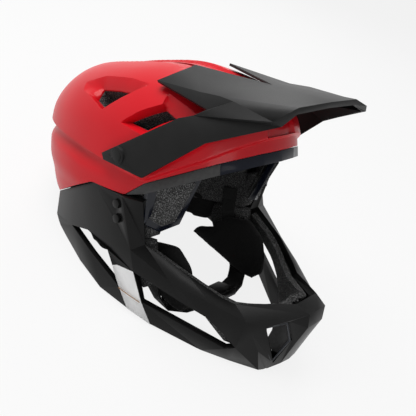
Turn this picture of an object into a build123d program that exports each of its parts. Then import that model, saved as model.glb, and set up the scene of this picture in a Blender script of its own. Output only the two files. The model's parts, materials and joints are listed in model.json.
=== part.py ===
"""Full face helmet for downhill riding, with an adjustable visor, a fit dial and a chin strap.

The model is drawn as it is worn, with the temple corner of the face opening at the height zero,
the front towards -Y and the wearer's left towards +X. The finished pieces are then leaned back
onto the chin and the nape, which is how the helmet rests on a table.
"""
import math
import os

from build123d import *

os.makedirs("parts", exist_ok=True)

# driving dimensions
HALF_WIDTH = 104.0
SHELL_LENGTH = 300.0
HELMET_HEIGHT = 285.0
BULGE_POWER_SHARE = 2.2
FOOT_TRIM = 1.0
CUT_OVERRUN = 60.0

# walls and clearances
BASE_WALL = 2.6
RAISED_STEP = 3.6
PIECE_GAP = 0.3
LINER_DEPTH = 21.0
NECK_LINER_INSET = 12.0
RIM_WALL = 12.0
RIM_PROUD = 0.8
PLATE_WALL = 6.0
VISOR_WALL = 2.4
MITRE_LIMIT_SHARE = 0.6
PAD_DEPTH = 6.0
CRADLE_GAP = 3.0
CRADLE_WALL = 2.0

# levels of the shell: height, half width, front and rear, as shares of the driving dimensions
SHELL_LEVEL_SHARES = [
    (0.000, 0.913, -0.235, 0.573),
    (0.105, 0.962, -0.285, 0.627),
    (0.211, 0.971, -0.300, 0.643),
    (0.333, 0.904, -0.307, 0.650),
    (0.421, 0.822, -0.277, 0.630),
    (0.493, 0.675, -0.170, 0.565),
    (0.540, 0.480, -0.030, 0.477),
    (0.563, 0.240, 0.060, 0.350),
]
SHELL_MIDDLE_SHARE = 0.170
SHELL_SEGMENTS = 32
LEVEL_STEPS = 2

# side outlines of the shell pieces, front to rear, as shares of length and height
SHELL_EDGE_SHARES = [
    (-0.500, 0.350), (-0.298, 0.313), (-0.228, 0.290), (-0.043, 0.221), (0.030, 0.176),
    (0.167, 0.198), (0.292, 0.158), (0.431, 0.110), (0.560, 0.165), (0.900, 0.165), (0.900, 0.800),
    (-0.500, 0.800),
]
CREASE_SHARES = [
    (-0.500, 0.390), (-0.298, 0.360), (-0.200, 0.305), (-0.044, 0.236), (0.106, 0.277),
    (0.208, 0.302), (0.303, 0.326), (0.482, 0.357), (0.900, 0.400), (0.900, 0.800), (-0.500, 0.800),
]
RIM_SHARES = [
    (-0.500, 0.348), (-0.298, 0.311), (-0.228, 0.288), (-0.043, 0.219), (0.020, 0.180),
    (0.020, 0.176), (-0.043, 0.187), (-0.228, 0.254), (-0.298, 0.277), (-0.500, 0.310),
]
NECK_LINER_SHARES = [
    (-0.045, 0.160), (0.028, 0.142), (0.030, 0.172), (0.167, 0.194), (0.292, 0.154), (0.431, 0.106),
    (0.560, 0.161), (0.900, 0.161), (0.900, 0.120), (0.560, 0.060), (0.480, 0.022), (0.300, 0.004),
    (0.060, 0.004), (0.000, 0.020), (-0.045, 0.110),
]
RIM_SPLIT_SHARE = -0.235
CHANNEL_SHARES = [(-0.40, 0.16), (0.00, 0.20), (0.25, 0.25), (0.44, 0.20), (0.50, 0.10)]
CROWN_SLOT_SHARES = [(0.04, 0.13), (0.19, 0.31)]
CROWN_SLOT_WIDTH_SHARE = 0.09
SLOT_FLOOR_SHARE = 0.33

# side vents, in the plane that leans over the temple
VENT_LEAN = 42.0
REAR_WINDOW_SHARES = [
    (0.744, 0.310, 0.488), (0.690, 0.318, 0.512), (0.640, 0.232, 0.528), (0.640, 0.109, 0.526),
    (0.645, 0.016, 0.500), (0.820, 0.150, 0.421), (0.780, 0.240, 0.455),
]
FRONT_WINDOW_SHARES = [
    (0.632, -0.051, 0.480), (0.700, -0.052, 0.440), (0.845, 0.075, 0.390), (0.860, -0.037, 0.370),
    (0.700, -0.170, 0.400), (0.640, -0.165, 0.438),
]
REAR_HOLE_SHARES = [
    (0.685, 0.211, 0.487), (0.684, 0.138, 0.488), (0.690, 0.061, 0.477), (0.812, 0.150, 0.426),
    (0.756, 0.218, 0.452),
]
FRONT_HOLE_SHARES = [
    (0.690, -0.055, 0.446), (0.700, -0.104, 0.415), (0.815, -0.020, 0.375), (0.830, 0.040, 0.392),
]

# corners of the chin bar on one side: half width, length and height shares
BAR_SHARES = {
    "rear_top": (0.808, 0.439, 0.105), "top_mid": (0.904, 0.292, 0.154), "top_peak": (0.952, 0.170, 0.193),
    "top_low": (0.981, 0.024, 0.172), "front_top": (0.933, -0.050, 0.164),
    "rear_tip": (0.769, 0.490, 0.003), "nape_low": (0.827, 0.445, -0.030), "low_1": (0.962, 0.269, -0.109),
    "low_2": (0.981, 0.157, -0.176), "low_3": (0.933, 0.043, -0.223), "low_4": (0.846, -0.031, -0.268),
    "low_5": (0.596, -0.166, -0.349), "low_6": (0.423, -0.240, -0.387), "low_7": (0.269, -0.312, -0.416),
    "vent_1": (0.904, 0.331, 0.003), "vent_2": (0.952, 0.218, 0.015), "strut_1": (0.976, 0.111, -0.025),
    "strut_2": (0.971, 0.062, -0.148), "vent_3": (0.971, 0.199, -0.059), "strut_3": (0.952, -0.001, -0.077),
    "strut_4": (0.913, -0.018, -0.183), "slot_1": (0.769, -0.161, -0.164), "slot_2": (0.663, -0.217, -0.204),
    "slot_3": (0.577, -0.256, -0.258), "slot_4": (0.500, -0.282, -0.310), "slot_5": (0.529, -0.250, -0.322),
    "temple": (0.827, -0.011, 0.006), "inner_1": (0.692, -0.149, -0.074), "inner_2": (0.558, -0.237, -0.138),
    "inner_3": (0.481, -0.274, -0.160), "inner_4": (0.154, -0.420, -0.153), "inner_5": (0.0, -0.421, -0.152),
    "crease_1": (0.971, 0.001, 0.000), "crease_2": (0.827, -0.119, -0.091), "crease_3": (0.663, -0.229, -0.148),
    "crease_4": (0.500, -0.326, -0.203), "ridge_1": (0.442, -0.330, -0.253), "ridge_2": (0.346, -0.330, -0.329),
    "ridge_3": (0.154, -0.314, -0.430), "nose_1": (0.125, -0.460, -0.181), "nose_2": (0.0, -0.461, -0.180),
    "nose_3": (0.115, -0.454, -0.229), "nose_4": (0.115, -0.414, -0.298), "nose_5": (0.115, -0.360, -0.395),
    "middle_3": (0.0, -0.456, -0.229), "middle_4": (0.0, -0.417, -0.298), "middle_5": (0.0, -0.365, -0.395),
    "middle_6": (0.0, -0.322, -0.430),
    "mouth_1": (0.385, -0.367, -0.223), "mouth_2": (0.231, -0.415, -0.206), "mouth_3": (0.144, -0.406, -0.286),
    "mouth_4": (0.192, -0.350, -0.386),
}
BAR_CENTRE_SHARE = (0.0, 0.070, -0.070)
PANEL_BORE_SPAN_SHARES = (0.900, 1.100)
PANEL_ROWS = (
    ("rear_top", "top_mid", "top_peak", "top_low", "front_top"),
    ("rear_tip", "vent_1", "vent_2", "crease_1", "temple"),
)
BEVEL_ROWS = (
    ("temple", "inner_1", "inner_2", "inner_3", "inner_4", "inner_5"),
    ("crease_1", "crease_2", "crease_3", "crease_4", "nose_1", "nose_2"),
)
UPPER_ROWS = (
    ("vent_2", "crease_1", "crease_2", "crease_3", "crease_4", "ridge_1"),
    ("strut_1", "strut_3", "slot_1", "slot_2", "slot_3", "slot_4"),
)
STRUT_ROWS = (("strut_1", "strut_3"), ("strut_2", "strut_4"))
LOWER_ROWS = (
    ("vent_1", "vent_1", "vent_3", "strut_2", "strut_4", "strut_4", "slot_5", "slot_4", "ridge_1"),
    ("rear_tip", "nape_low", "low_1", "low_2", "low_3", "low_4", "low_5", "low_6", "low_7"),
)
MOUTH_ROWS = (
    ("crease_4", "ridge_1", "ridge_2", "ridge_3"),
    ("mouth_1", "mouth_1", "mouth_4", "nose_5"),
)
MOUTH_LOOSE = (
    ("ridge_1", "low_7", "ridge_2"), ("ridge_2", "low_7", "ridge_3"), ("crease_4", "mouth_1", "nose_1"),
    ("mouth_1", "mouth_2", "nose_1"), ("nose_1", "mouth_2", "nose_3"),
)
NOSE_ROWS = (
    ("mouth_2", "mouth_3", "mouth_4"),
    ("nose_3", "nose_4", "nose_5"),
)
MIDDLE_ROWS = (
    ("nose_1", "nose_3", "nose_4", "nose_5", "ridge_3"),
    ("nose_2", "middle_3", "middle_4", "middle_5", "middle_6"),
)

# white panel that wraps from the strut onto the lower bar: its top corners lie on edges of the bar
DECAL_WALL = 0.4
DECAL_TOP_SHARES = {"decal_rear": ("strut_1", "strut_2", 0.42), "decal_top": ("strut_1", "strut_4", 0.30)}
DECAL_FACES = (
    ("decal_rear", "strut_2", "strut_4"), ("decal_rear", "strut_4", "decal_top"),
    ("decal_top", "strut_4", "strut_3"), ("strut_2", "low_3", "strut_4"), ("strut_4", "low_3", "low_4"),
)

# corners of the visor on one side, in the same shares
VISOR_SHARES = {
    "notch": (0.0, -0.267, 0.512), "prong_in": (0.234, -0.037, 0.568), "prong_out": (0.654, -0.020, 0.526),
    "spine_1": (0.625, -0.180, 0.500), "spine_2": (0.635, -0.257, 0.492), "spine_3": (0.462, -0.413, 0.474),
    "tip_mid": (0.0, -0.467, 0.474), "tip_side": (0.433, -0.460, 0.470), "tip_corner": (0.702, -0.447, 0.441),
    "valley": (0.712, -0.233, 0.456), "wing_1": (0.635, -0.303, 0.481), "wing_2": (0.827, -0.220, 0.442),
    "arm_top": (0.865, -0.177, 0.432), "arm_end": (1.020, 0.094, 0.305), "arm_heel": (1.020, 0.088, 0.284),
    "arm_low": (1.005, -0.072, 0.250), "arm_mid": (0.865, -0.270, 0.372), "lip_corner": (0.635, -0.457, 0.426),
    "lip_side": (0.433, -0.457, 0.452), "lip_mid": (0.0, -0.460, 0.456),
}
VISOR_CENTRE_SHARE = (0.0, -0.200, 0.200)
VISOR_FACES = (
    ("prong_in", "prong_out", "spine_1"), ("prong_in", "spine_1", "notch"), ("notch", "spine_1", "spine_2"),
    ("notch", "spine_2", "spine_3"), ("notch", "spine_3", "tip_mid"), ("spine_3", "tip_side", "tip_mid"),
    ("prong_out", "valley", "spine_1"), ("spine_1", "valley", "spine_2"), ("spine_2", "valley", "wing_1"),
    ("spine_2", "wing_1", "spine_3"), ("valley", "wing_2", "wing_1"), ("wing_1", "wing_2", "tip_corner"),
    ("wing_1", "tip_corner", "spine_3"), ("spine_3", "tip_corner", "tip_side"),
    ("tip_corner", "lip_corner", "lip_side"), ("tip_corner", "lip_side", "tip_side"),
    ("tip_side", "lip_side", "lip_mid"), ("tip_side", "lip_mid", "tip_mid"),
    ("arm_end", "arm_heel", "arm_low"), ("arm_end", "arm_low", "arm_top"), ("arm_top", "arm_low", "arm_mid"),
    ("arm_top", "arm_mid", "wing_2"), ("wing_2", "arm_mid", "lip_corner"), ("wing_2", "lip_corner", "tip_corner"),
)

# visor pivots and side screws
PIVOT_SHARE = (0.0, 0.027, 0.3035)
ANCHOR_SPAN_SHARES = (0.840, 0.960)
ANCHOR_RADIUS = 6.0
HUB_RADIUS = 8.0
HUB_SPAN_SHARES = (0.979, 1.015)
VISOR_SCREW_RADIUS = 2.5
VISOR_SCREW_HEAD_RADIUS = 5.5
VISOR_SCREW_HEAD = 1.6
SCREW_FIT = 0.15
PANEL_SCREW_RADIUS = 4.2
PANEL_SCREW_SPAN_SHARES = (0.945, 0.992)
PANEL_SCREW_SHARES = [(0.052, 0.144), (0.055, 0.094)]

# cheek pads: outline in length and height shares, then half width and scale of each section
CHEEK_SHARES = [
    (-0.050, -0.012), (-0.110, -0.072), (-0.122, -0.147), (-0.112, -0.200), (-0.060, -0.228),
    (0.060, -0.195), (0.170, -0.160), (0.212, -0.125), (0.190, -0.080), (0.110, -0.035), (0.040, -0.012),
]
CHEEK_SECTION_SHARES = [(0.440, 0.80), (0.480, 1.0), (0.580, 1.0), (0.630, 0.86)]
CHEEK_MIDDLE_SHARE = (0.040, -0.130)
BLOCK_SHARES = [
    (0.005, 0.003), (0.000, -0.060), (0.000, -0.150), (0.030, -0.165), (0.150, -0.120), (0.170, -0.050),
    (0.150, 0.003),
]
BLOCK_SPAN_SHARES = (0.6335, 0.760)

# comfort pads along the inside of the cavity
BROW_PAD_SHARES = [(-0.500, 0.338), (-0.060, 0.298), (-0.060, 0.340), (-0.500, 0.395)]
CROWN_PAD_SHARES = [(-0.090, 0.430), (0.400, 0.430), (0.400, 0.800), (-0.090, 0.800)]
CROWN_PAD_WIDTH_SHARE = 0.240

# fit cradle and dial
CRADLE_SHARES = [(0.280, 0.140), (0.900, 0.150), (0.900, 0.080), (0.440, 0.060), (0.280, 0.100)]
DIAL_SHARE = (0.0, 0.545, 0.107)
DIAL_RADIUS = 11.5
DIAL_THICKNESS = 8.0
DIAL_RIBS = 16
DIAL_RIB_RADIUS = 1.1
HOUSING_RADIUS = 13.0
HOUSING_THICKNESS = 4.0
DIAL_AXLE_RADIUS = 3.0
DIAL_FIT = 0.2

# chin strap and buckle
STRAP_WIDTH = 19.0
STRAP_WALL = 1.8
STRAP_SHARES = [
    (0.660, 0.085, 0.035), (0.410, 0.075, 0.012), (0.385, 0.070, -0.130), (0.290, 0.045, -0.212),
    (0.150, -0.060, -0.246),
]
BUCKLE_WIDTH = 24.0
BUCKLE_THICKNESS = 8.0
BUTTON_LENGTH = 10.0
BUTTON_WIDTH = 12.0
BUTTON_DEPTH = 4.0
BUTTON_PROUD = 1.5
BUTTON_FIT = 0.35


def place(share):
    """Point of the worn helmet from its shares of half width, length and height."""
    return Vector(HALF_WIDTH * share[0], SHELL_LENGTH * share[1], HELMET_HEIGHT * share[2])


def smooth_levels():
    """The shell levels with further ones between them, on a curve through the given ones."""
    levels = []
    last = len(SHELL_LEVEL_SHARES) - 1
    for i in range(last):
        before, start = SHELL_LEVEL_SHARES[max(i - 1, 0)], SHELL_LEVEL_SHARES[i]
        end, after = SHELL_LEVEL_SHARES[i + 1], SHELL_LEVEL_SHARES[min(i + 2, last)]
        for step in range(LEVEL_STEPS):
            t = step / LEVEL_STEPS
            levels.append(tuple(
                (2 * b + (c - a) * t + (2 * a - 5 * b + 4 * c - d) * t ** 2 + (3 * b - a - 3 * c + d) * t ** 3) / 2
                for a, b, c, d in zip(before, start, end, after)
            ))
    return levels + [SHELL_LEVEL_SHARES[last]]


def ring(level, offset):
    """Points of one closed level curve of the shell, moved outwards by the offset."""
    height, width, front, rear = level
    rise = offset * (height / SHELL_LEVEL_SHARES[-1][0]) ** 2
    middle = SHELL_LENGTH * SHELL_MIDDLE_SHARE
    power = 2 / BULGE_POWER_SHARE
    points = []
    for step in range(SHELL_SEGMENTS):
        turn = 2 * math.pi * step / SHELL_SEGMENTS
        across, along = math.cos(turn), math.sin(turn)
        reach = SHELL_LENGTH * rear - middle if along > 0 else middle - SHELL_LENGTH * front
        points.append(Vector(
            (HALF_WIDTH * width + offset) * math.copysign(abs(across) ** power, across),
            middle + (reach + offset) * math.copysign(abs(along) ** power, along),
            HELMET_HEIGHT * height + rise,
        ))
    return points


def shell_form(offset):
    """The solid form of the head shell at a given offset from its outer skin, in flat facets."""
    rings = [ring(level, offset) for level in smooth_levels()]
    skins = [rings[0][::-1], rings[-1]]
    for lower, upper in zip(rings, rings[1:]):
        for i in range(SHELL_SEGMENTS):
            j = (i + 1) % SHELL_SEGMENTS
            skins.append([lower[i], lower[j], upper[j]])
            skins.append([lower[i], upper[j], upper[i]])
    return Solid(Shell([Face(Wire.make_polygon(skin, close=True)) for skin in skins]))


def side_prism(outline, reach=None):
    """Prism across the whole width from an outline of (length, height) shares in the side view."""
    reach = reach or HALF_WIDTH + CUT_OVERRUN
    corners = [Vector(-reach, SHELL_LENGTH * y, HELMET_HEIGHT * z) for y, z in outline]
    face = Face(Wire.make_polygon(corners, close=True))
    return Solid.extrude(face, Vector(2 * reach, 0, 0))


def oriented(points, faces, centre):
    """The faces with their corners ordered alike, so that all of them look away from the centre."""
    left = [tuple(face) for face in faces]
    first = left.pop(0)
    a, b, c = (points[name] for name in first)
    if (b - a).cross(c - a).dot((a + b + c) / 3 - centre) < 0:
        first = first[::-1]
    turned = [first]
    edges = {(first[i], first[(i + 1) % 3]) for i in range(3)}
    while left:
        for face in left:
            sides = {(face[i], face[(i + 1) % 3]) for i in range(3)}
            backs = {(end, start) for start, end in sides}
            if sides & edges or backs & edges:
                left.remove(face)
                turned.append(face[::-1] if sides & edges else face)
                edges |= backs if sides & edges else sides
                break
    return turned


def strips(*rows):
    """Triangles between rows of corner names of equal length, laid one beside the other."""
    faces = []
    for upper, lower in zip(rows, rows[1:]):
        for i in range(len(upper) - 1):
            a, b, c, d = upper[i], lower[i], lower[i + 1], upper[i + 1]
            faces += [face for face in ((a, b, c), (a, c, d)) if len(set(face)) == 3]
    return faces


def with_mirror(shares, faces):
    """Points and faces of both sides, from those of one side; corners on the middle are shared."""
    points = {name: place(share) for name, share in shares.items()}
    twin = {}
    for name, (x, y, z) in shares.items():
        twin[name] = name if x == 0 else "far_" + name
        points[twin[name]] = place((-x, y, z))
    return points, faces + [tuple(twin[name] for name in face) for face in faces]


def folded_plate(points, faces, start, wall):
    """Moulded plate of flat facets between two skins at depths start and start + wall."""
    normals = {}
    for face in faces:
        a, b, c = (points[name] for name in face)
        for name in face:
            normals.setdefault(name, []).append((b - a).cross(c - a).normalized())
    outer, inner = {}, {}
    for name, leans in normals.items():
        lean = sum(leans, Vector(0, 0, 0)).normalized()
        reach = max(min(normal.dot(lean) for normal in leans), MITRE_LIMIT_SHARE)
        outer[name] = points[name] - lean * (start / reach)
        inner[name] = points[name] - lean * ((start + wall) / reach)
    edges = {(face[i], face[(i + 1) % 3]) for face in faces for i in range(3)}
    skins = []
    for face in faces:
        skins.append([outer[name] for name in face])
        skins.append([inner[name] for name in reversed(face)])
    for a, b in sorted(edges):
        if (b, a) not in edges:
            skins.append([outer[b], outer[a], inner[a]])
            skins.append([outer[b], inner[a], inner[b]])
    return Solid(Shell([Face(Wire.make_polygon(skin, close=True)) for skin in skins]))


def leaned_prism(shares, side):
    """Prism that runs outwards through a side vent, square to the plane that leans over the temple."""
    lean = math.radians(VENT_LEAN)
    normal = Vector(side * math.cos(lean), 0, math.sin(lean))
    corners = []
    for x, y, z in shares:
        point = place((side * x, y, z))
        corners.append(point - normal * (point.dot(normal) - HALF_WIDTH / 2))
    return Solid.extrude(Face(Wire.make_polygon(corners, close=True)), normal * HALF_WIDTH)


def cut_side_vents(shape, shares):
    """The shape without the vent prisms of both sides."""
    for side in (-1, 1):
        shape = shape - leaned_prism(shares, side)
    return shape


def crown_slots():
    """Two slots along the middle of the crown."""
    half = HALF_WIDTH * CROWN_SLOT_WIDTH_SHARE
    slots = []
    for front, rear in CROWN_SLOT_SHARES:
        length = SHELL_LENGTH * (rear - front)
        middle = SHELL_LENGTH * (rear + front) / 2
        slot = Solid.make_box(2 * half, length, HELMET_HEIGHT)
        slots.append(slot.moved(Location((-half, middle - length / 2, HELMET_HEIGHT * SLOT_FLOOR_SHARE))))
    return slots


def channel_prism():
    """The lowered channel between the two raised bands of the crown."""
    side = [Vector(HALF_WIDTH * x, SHELL_LENGTH * y, 0) for y, x in CHANNEL_SHARES]
    other = [Vector(-point.X, point.Y, 0) for point in reversed(side)]
    return Solid.extrude(Face(Wire.make_polygon(side + other, close=True)), Vector(0, 0, HELMET_HEIGHT))


def one_solid(shape):
    """The largest solid of a shape, without slivers that a cut leaves."""
    return max(shape.solids(), key=lambda solid: solid.volume)


def make_shells():
    """Raised outer shell, base shell and head liner, from nested offsets of the same form."""
    base_form = shell_form(0)
    cavity = shell_form(-BASE_WALL - PIECE_GAP - LINER_DEPTH)
    above_edge = side_prism(SHELL_EDGE_SHARES)
    raised = (shell_form(RAISED_STEP) - shell_form(PIECE_GAP)) & side_prism(CREASE_SHARES)
    raised = raised - channel_prism()
    raised = cut_side_vents(cut_side_vents(raised, REAR_WINDOW_SHARES), FRONT_WINDOW_SHARES)
    base = (base_form - shell_form(-BASE_WALL)) & above_edge
    liner = (shell_form(-BASE_WALL - PIECE_GAP) - cavity) & above_edge
    for slot in crown_slots():
        base = base - slot
        liner = liner - slot
    base = cut_side_vents(cut_side_vents(base, REAR_HOLE_SHARES), FRONT_HOLE_SHARES)
    liner = cut_side_vents(cut_side_vents(liner, REAR_HOLE_SHARES), FRONT_HOLE_SHARES)
    return {"raised_shell": raised, "base_shell": base, "head_liner": liner}, cavity


def make_rims():
    """Gloss brow trim and the two rubber strips along the edge of the face opening."""
    band = (shell_form(RIM_PROUD) - shell_form(-RIM_WALL)) & side_prism(RIM_SHARES)
    split = SHELL_LENGTH * RIM_SPLIT_SHARE
    reach = SHELL_LENGTH
    front = Solid.make_box(2 * reach, reach, reach).moved(Location((-reach, split - reach, 0)))
    pieces = {"brow_trim": band & front}
    rear = Solid.make_box(reach, reach, reach)
    pieces["rim_strip_left"] = band & rear.moved(Location((0, split + PIECE_GAP, 0)))
    pieces["rim_strip_right"] = band & rear.moved(Location((-reach, split + PIECE_GAP, 0)))
    return pieces


def make_pivot_holes(shells):
    """The shells with a hole on each side for the visor anchors."""
    for name in shells:
        for side in (-1, 1):
            shells[name] = shells[name] - side_rod(PIVOT_SHARE, ANCHOR_SPAN_SHARES, ANCHOR_RADIUS + PIECE_GAP, side)
    return shells


def make_neck_liner(cavity):
    """Foam behind the side panels, round the temples and the nape, with room for the dial."""
    liner = (shell_form(-NECK_LINER_INSET) - cavity) & side_prism(NECK_LINER_SHARES)
    width = 2 * (HOUSING_RADIUS + CRADLE_GAP)
    reach = SHELL_LENGTH
    dial_room = Solid.make_box(width, reach, 2 * width)
    centre = place(DIAL_SHARE)
    return {"neck_liner": liner - dial_room.moved(Location((-width / 2, 0, centre.Z - width / 2)))}


def bar_faces():
    """All facets of one side of the chin bar."""
    faces = []
    for rows in (PANEL_ROWS, BEVEL_ROWS, UPPER_ROWS, STRUT_ROWS, LOWER_ROWS, MOUTH_ROWS, NOSE_ROWS, MIDDLE_ROWS):
        faces += strips(*rows)
    return faces + list(MOUTH_LOOSE)


def side_rod(share, span_shares, radius, side):
    """Rod across the helmet at a place in the side view, between two half width shares."""
    near, far = (HALF_WIDTH * share for share in span_shares)
    plane = Plane(origin=(side * near, SHELL_LENGTH * share[-2], HELMET_HEIGHT * share[-1]), z_dir=(side, 0, 0))
    return Solid.make_cylinder(radius, far - near, plane)


def make_chin_bar():
    """Faceted chin bar with its side panels and vents, and the screws through the panels."""
    points, faces = with_mirror(BAR_SHARES, bar_faces())
    faces = oriented(points, faces, place(BAR_CENTRE_SHARE))
    bar = folded_plate(points, faces, 0, PLATE_WALL)
    screws = []
    for side in (-1, 1):
        for spot in PANEL_SCREW_SHARES:
            bar = bar - side_rod(spot, PANEL_BORE_SPAN_SHARES, PANEL_SCREW_RADIUS + SCREW_FIT, side)
            screws.append(side_rod(spot, PANEL_SCREW_SPAN_SHARES, PANEL_SCREW_RADIUS, side))
    return {"chin_bar": bar, "panel_screws": Compound(children=screws)}


def make_decals():
    """White panels on the struts, one on each side, with their corners taken from the bar itself."""
    pieces = {}
    for side, name in ((-1, "right"), (1, "left")):
        points = {key: place((side * x, y, z)) for key, (x, y, z) in BAR_SHARES.items()}
        for key, (start, end, share) in DECAL_TOP_SHARES.items():
            points[key] = points[start] + (points[end] - points[start]) * share
        faces = oriented(points, DECAL_FACES, place(BAR_CENTRE_SHARE))
        pieces["decal_" + name] = folded_plate(points, faces, -DECAL_WALL, DECAL_WALL)
    return pieces


def make_visor():
    """Visor with two rear prongs, a wing on each side and an arm down to each pivot, and its screws."""
    points, faces = with_mirror(VISOR_SHARES, list(VISOR_FACES))
    faces = oriented(points, faces, place(VISOR_CENTRE_SHARE))
    visor = folded_plate(points, faces, 0, VISOR_WALL)
    pieces = {}
    hub_near, hub_far = HUB_SPAN_SHARES
    head_far = hub_far + VISOR_SCREW_HEAD / HALF_WIDTH
    bore = VISOR_SCREW_RADIUS + SCREW_FIT
    for side, name in ((-1, "right"), (1, "left")):
        visor = visor + side_rod(PIVOT_SHARE, HUB_SPAN_SHARES, HUB_RADIUS, side)
        visor = visor - side_rod(PIVOT_SHARE, (ANCHOR_SPAN_SHARES[0], head_far), bore, side)
        anchor = side_rod(PIVOT_SHARE, ANCHOR_SPAN_SHARES, ANCHOR_RADIUS, side)
        pieces["visor_anchor_" + name] = anchor - side_rod(PIVOT_SHARE, ANCHOR_SPAN_SHARES, bore, side)
        screw = side_rod(PIVOT_SHARE, (ANCHOR_SPAN_SHARES[0], hub_far), VISOR_SCREW_RADIUS, side)
        head = side_rod(PIVOT_SHARE, (hub_far + SCREW_FIT / HALF_WIDTH, head_far), VISOR_SCREW_HEAD_RADIUS, side)
        neck = side_rod(PIVOT_SHARE, (hub_far, head_far), VISOR_SCREW_RADIUS, side)
        pieces["visor_screw_" + name] = screw + neck + head
    pieces["visor"] = visor
    return pieces


def outline_section(outline, middle, half_width, scale):
    """Closed wire of a side outline, scaled about its middle, at one half width."""
    corners = []
    for y, z in outline:
        y, z = middle[0] + (y - middle[0]) * scale, middle[1] + (z - middle[1]) * scale
        corners.append(place((half_width, y, z)))
    return Wire.make_polygon(corners, close=True)


def make_cheeks():
    """Cheek cushions, crowned with drawn-in sides, and the foam blocks that carry them."""
    pad = Solid.make_loft([
        outline_section(CHEEK_SHARES, CHEEK_MIDDLE_SHARE, x, scale) for x, scale in CHEEK_SECTION_SHARES
    ], ruled=True)
    block = Solid.make_loft([
        outline_section(BLOCK_SHARES, CHEEK_MIDDLE_SHARE, x, 1) for x in BLOCK_SPAN_SHARES
    ], ruled=True)
    return {
        "cheek_pad_left": pad, "cheek_pad_right": pad.mirror(Plane.YZ),
        "cheek_block_left": block, "cheek_block_right": block.mirror(Plane.YZ),
    }


def make_comfort_pads():
    """Brow pad and crown pad, which line the foam cavity."""
    depth = -BASE_WALL - 2 * PIECE_GAP - LINER_DEPTH
    lining = shell_form(depth) - shell_form(depth - PAD_DEPTH)
    return {
        "brow_pad": lining & side_prism(BROW_PAD_SHARES),
        "crown_pad": lining & side_prism(CROWN_PAD_SHARES, HALF_WIDTH * CROWN_PAD_WIDTH_SHARE / 2),
    }


def along_rod(centre, start, length, radius):
    """Rod that runs rearwards from a start distance behind a centre."""
    return Solid.make_cylinder(radius, length, Plane(origin=centre + Vector(0, start, 0), z_dir=(0, 1, 0)))


def make_fit_system():
    """Rear cradle, the dial housing on it and the ribbed dial that draws it forwards."""
    depth = -BASE_WALL - 2 * PIECE_GAP - LINER_DEPTH
    cradle = (shell_form(depth) - shell_form(depth - CRADLE_WALL)) & side_prism(CRADLE_SHARES)
    centre = place(DIAL_SHARE)
    housing = along_rod(centre, 0, HOUSING_THICKNESS, HOUSING_RADIUS)
    axle = along_rod(centre, 0, HOUSING_THICKNESS + DIAL_THICKNESS, DIAL_AXLE_RADIUS)
    start = HOUSING_THICKNESS + DIAL_FIT
    dial = along_rod(centre, start, DIAL_THICKNESS, DIAL_RADIUS)
    for step in range(DIAL_RIBS):
        turn = 2 * math.pi * step / DIAL_RIBS
        rim = centre + Vector(DIAL_RADIUS * math.cos(turn), 0, DIAL_RADIUS * math.sin(turn))
        dial = dial + along_rod(rim, start, DIAL_THICKNESS, DIAL_RIB_RADIUS)
    dial = dial - along_rod(centre, 0, 2 * (HOUSING_THICKNESS + DIAL_THICKNESS), DIAL_AXLE_RADIUS + DIAL_FIT)
    window_length = 2 * HOUSING_THICKNESS + DIAL_THICKNESS
    cradle = cradle - along_rod(centre, -HOUSING_THICKNESS, window_length, HOUSING_RADIUS + DIAL_FIT)
    return {"fit_cradle": cradle, "dial_housing": housing + axle, "fit_dial": dial}


def make_straps():
    """Two webbing straps that meet in the buckle below the chin, and its release button."""
    pieces = {}
    for side, name in ((-1, "right"), (1, "left")):
        points, rows = {}, ([], [])
        for i, (x, y, z) in enumerate(STRAP_SHARES):
            for row, reach in ((0, -STRAP_WIDTH / 2), (1, STRAP_WIDTH / 2)):
                key = "edge_%d_%d" % (row, i)
                points[key] = place((side * x, y, z)) + Vector(0, reach, 0)
                rows[row].append(key)
        faces = oriented(points, strips(*rows), place((side, 0, 0)))
        pieces["strap_" + name] = folded_plate(points, faces, 0, STRAP_WALL)
    end = place((0, STRAP_SHARES[-1][1], STRAP_SHARES[-1][2]))
    half_length = HALF_WIDTH * STRAP_SHARES[-1][0] - PIECE_GAP
    body = Solid.make_box(2 * half_length, BUCKLE_WIDTH, BUCKLE_THICKNESS)
    body = body.moved(Location(end - Vector(half_length, BUCKLE_WIDTH / 2, BUCKLE_THICKNESS / 2)))
    room_depth = BUTTON_DEPTH + BUTTON_FIT
    room = Solid.make_box(BUTTON_LENGTH + 2 * BUTTON_FIT, BUTTON_WIDTH + 2 * BUTTON_FIT, room_depth)
    floor = Vector(0, 0, -BUCKLE_THICKNESS / 2)
    room_corner = Vector(BUTTON_LENGTH / 2 + BUTTON_FIT, BUTTON_WIDTH / 2 + BUTTON_FIT, 0)
    pieces["buckle"] = body - room.moved(Location(end + floor - room_corner))
    button = Solid.make_box(BUTTON_LENGTH, BUTTON_WIDTH, BUTTON_DEPTH - BUTTON_FIT)
    button_corner = Vector(BUTTON_LENGTH / 2, BUTTON_WIDTH / 2, BUTTON_PROUD)
    pieces["buckle_button"] = button.moved(Location(end + floor - button_corner))
    return pieces


MANY_SOLIDS = ("panel_screws",)


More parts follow.
